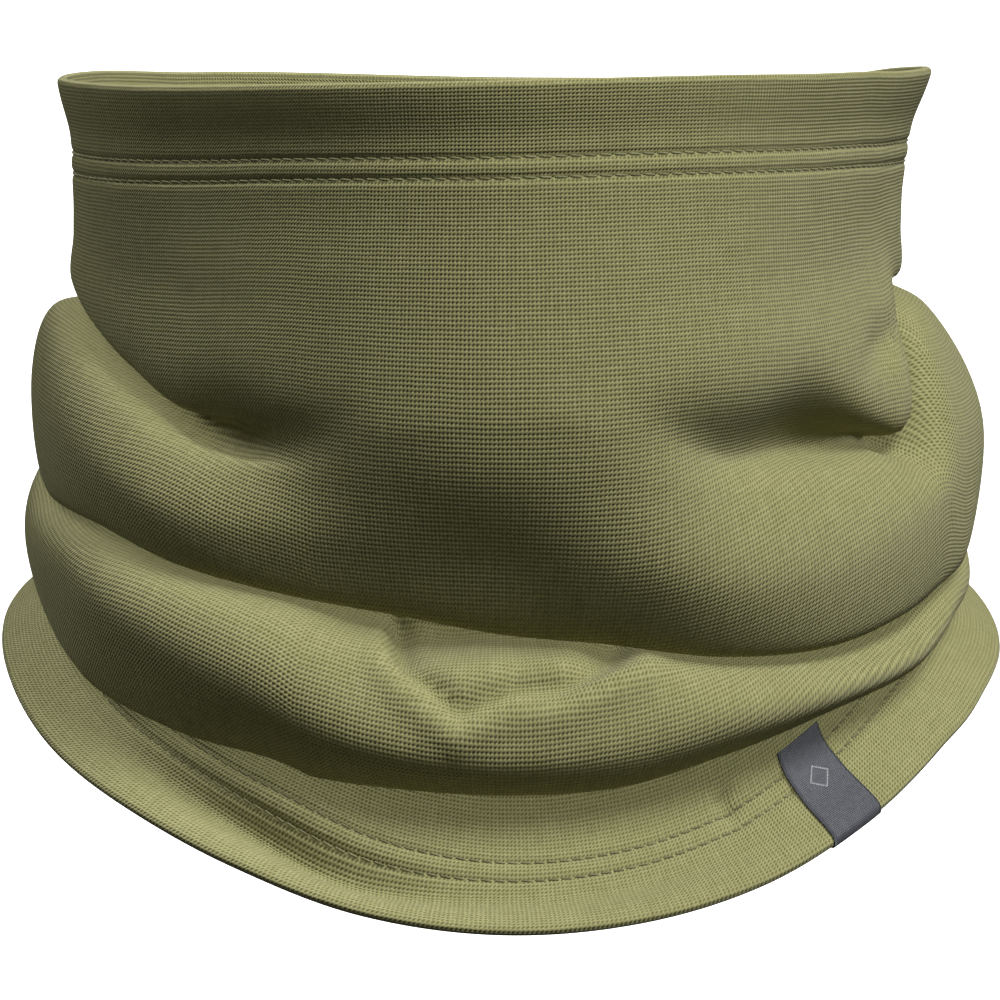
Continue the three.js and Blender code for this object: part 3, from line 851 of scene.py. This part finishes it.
def label_path(azimuth, rise):
    """Points of the label at an azimuth, from its outer end over the hem's edge to its inner end."""
    front_distances = np.linspace(LABEL_FRONT, 0.6, 26)
    rows = np.where(
        front_distances <= HEM_DISTANCES[-1],
        cloth.bottom_row(front_distances),
        cloth.bottom_row(HEM_DISTANCES[-1]) - (front_distances - HEM_DISTANCES[-1]) / ROW_SPACING,
    )
    front = cloth.sample(azimuth, rows, label_stand_off(front_distances) + rise)
    back_distances = np.linspace(0.6, LABEL_BACK, 14)
    back = cloth.sample(azimuth, cloth.bottom_row(back_distances), -(TURNED_FACE + 0.15 + rise))
    top, bottom = front[-1], back[0]
    past = unit(cloth.sample(azimuth, label_edge_row) - cloth.sample(azimuth, label_edge_row - 1))
    centre = (top + bottom) / 2
    half = (top - bottom) / 2
    reach = np.linalg.norm(half)
    turns = np.pi * np.arange(1, 12) / 12
    bulge = reach + LABEL_FOLD_PAST
    fold = [centre + half * math.cos(t) + past * bulge * math.sin(t) for t in turns]
    return np.concatenate([front, fold, back])


def ribbon(name, azimuths, path_of, thickness, material):
    """A closed strip: its upper and lower faces follow path_of(azimuth, rise)."""
    outer = np.stack([path_of(a, thickness) for a in azimuths])
    inner = np.stack([path_of(a, 0.0) for a in azimuths])
    ring = np.concatenate([outer, inner[:, ::-1]], axis=1)
    columns, size = ring.shape[:2]
    faces = grid_faces(columns, size, closed_across=True)
    half = size // 2
    for column, flip in ((0, False), (columns - 1, True)):
        base = column * size
        for j in range(half - 1):
            quad = (base + j, base + size - 1 - j, base + size - 2 - j, base + j + 1)
            faces.append(quad if flip else quad[::-1])
    faces = [f[::-1] for f in faces]
    made = mesh_object(name, ring, faces, material)
    steps = np.linalg.norm(np.diff(outer, axis=1), axis=-1)
    run = np.concatenate([np.zeros((columns, 1)), np.cumsum(steps, axis=1)], axis=1)
    v = np.concatenate([run, run[:, ::-1]], axis=1)
    width = np.radians(np.asarray(azimuths) - azimuths[0]) * label_radius
    u = np.tile(width[:, None], (1, size))
    uv = np.stack([u, v], axis=-1).reshape(-1, 2) * MM
    layer = made.data.uv_layers.new(name="ribbon")
    corner_vertices = np.zeros(len(made.data.loops), int)
    made.data.loops.foreach_get("vertex_index", corner_vertices)
    layer.data.foreach_set("uv", uv[corner_vertices].astype(np.float32).ravel())
    return made


label = ribbon(
    "woven_label_ribbon",
    LABEL_AZIMUTH + label_half_angle * np.linspace(-1, 1, 15),
    label_path,
    LABEL_THICKNESS,
    satin,
)
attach(label, "collar")
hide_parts("woven_label")


def label_mark():
    """A plain diamond outline, woven a little proud of the label's outer face."""
    size, line_width = 2.9, 0.62
    distance = 12.2
    corners = np.array([[0, 1], [1, 0], [0, -1], [-1, 0], [0, 1.0]])
    per_side = 8
    share = np.arange(per_side)[:, None] / per_side
    path = np.concatenate([a + (b - a) * share for a, b in zip(corners, corners[1:])])
    profile = ((1.0, 0.0), (0.85, 0.12), (0.15, 0.12), (0.0, 0.0))   # share of the line, rise
    rings = []
    for inwards, rise in profile:
        scale = size - line_width * inwards
        across, along = (path * scale).T
        azimuth = LABEL_AZIMUTH + np.degrees(across / label_radius)
        at = distance + along * 1.05
        lift = label_stand_off(at) + LABEL_THICKNESS + rise - 0.03
        rings.append(cloth.sample(azimuth, cloth.bottom_row(at), lift))
    vertices = np.stack(rings, axis=1)
    faces = grid_faces(len(path), 4, closed_round=True, closed_across=True)
    made = mesh_object("label_mark", vertices, faces, mark_satin)
    layer = made.data.uv_layers.new(name="ribbon")
    uv = np.repeat(path * size * MM, 4, axis=0)
    corner_vertices = np.zeros(len(made.data.loops), int)
    made.data.loops.foreach_get("vertex_index", corner_vertices)
    layer.data.foreach_set("uv", uv[corner_vertices].astype(np.float32).ravel())
    return made


mark = label_mark()
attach(mark, "collar")


# ---- Stage, light and camera -----------------------------------------------------------------
def studio_floor():
    """A plain pale floor below the gaiter, seen by the camera only."""
    size, depth = 60.0, -0.35
    corners = [(-size, -size, depth), (size, -size, depth), (size, size, depth), (-size, size, depth)]
    mesh = bpy.data.meshes.new("studio_floor")
    mesh.from_pydata(corners, [], [(0, 1, 2, 3)])
    floor = bpy.data.objects.new("studio_floor", mesh)
    bpy.context.scene.collection.objects.link(floor)
    material, _, shader = new_material("pale_floor")
    shader.inputs["Base Color"].default_value = (0.8, 0.8, 0.8, 1)
    shader.inputs["Roughness"].default_value = 1.0
    shader.inputs["Specular IOR Level"].default_value = 0.0
    shader.inputs["Emission Color"].default_value = (1, 1, 1, 1)
    shader.inputs["Emission Strength"].default_value = 0.7
    mesh.materials.append(material)
    floor.visible_diffuse = False
    floor.visible_glossy = False
    floor.visible_shadow = False


def sun(name, azimuth, elevation, strength, spread, shadows=True):
    """A light from a direction, given as seen from the gaiter."""
    light = bpy.data.lights.new(name, "SUN")
    light.energy = strength
    light.angle = math.radians(spread)
    light.use_shadow = shadows
    made = bpy.data.objects.new(name, light)
    bpy.context.scene.collection.objects.link(made)
    a, e = math.radians(azimuth), math.radians(elevation)
    towards = Vector((math.sin(a) * math.cos(e), -math.cos(a) * math.cos(e), math.sin(e)))
    made.rotation_euler = towards.to_track_quat("Z", "Y").to_euler()


def world_light(seen, cast):
    """White as the camera sees it, and a dim even light on the gaiter."""
    world = bpy.data.worlds.new("studio")
    world.use_nodes = True
    tree = world.node_tree
    path = tree.nodes.new("ShaderNodeLightPath")
    background = tree.nodes["Background"]
    background.inputs["Color"].default_value = (1, 1, 1, 1)
    strength = maths(tree, "MULTIPLY_ADD", path.outputs["Is Camera Ray"], seen - cast, cast)
    tree.links.new(strength, background.inputs["Strength"])
    bpy.context.scene.world = world


def camera(distance, elevation, target, scale):
    """A long-lens camera in front of the gaiter. scale is metres across the frame at the target."""
    data = bpy.data.cameras.new("camera")
    data.lens = data.sensor_width * distance / scale
    data.clip_start, data.clip_end = distance * 0.1, distance * 10
    made = bpy.data.objects.new("camera", data)
    bpy.context.scene.collection.objects.link(made)
    e = math.radians(elevation)
    back = Vector((0, -math.cos(e), math.sin(e)))
    made.location = target + back * distance
    made.rotation_euler = back.to_track_quat("Z", "Y").to_euler()
    bpy.context.scene.camera = made


studio_floor()
sun("key", 46, 55, 2.85, 25)
sun("key_without_shadows", 46, 55, 2.35, 25, shadows=False)
sun("fill", -115, 50, 1.65, 40)
world_light(seen=1.0, cast=0.08)
camera(distance=8.0, elevation=10, target=Vector((0, 0, 0.0268)), scale=0.19)
bpy.context.scene.view_settings.view_transform = "Standard"
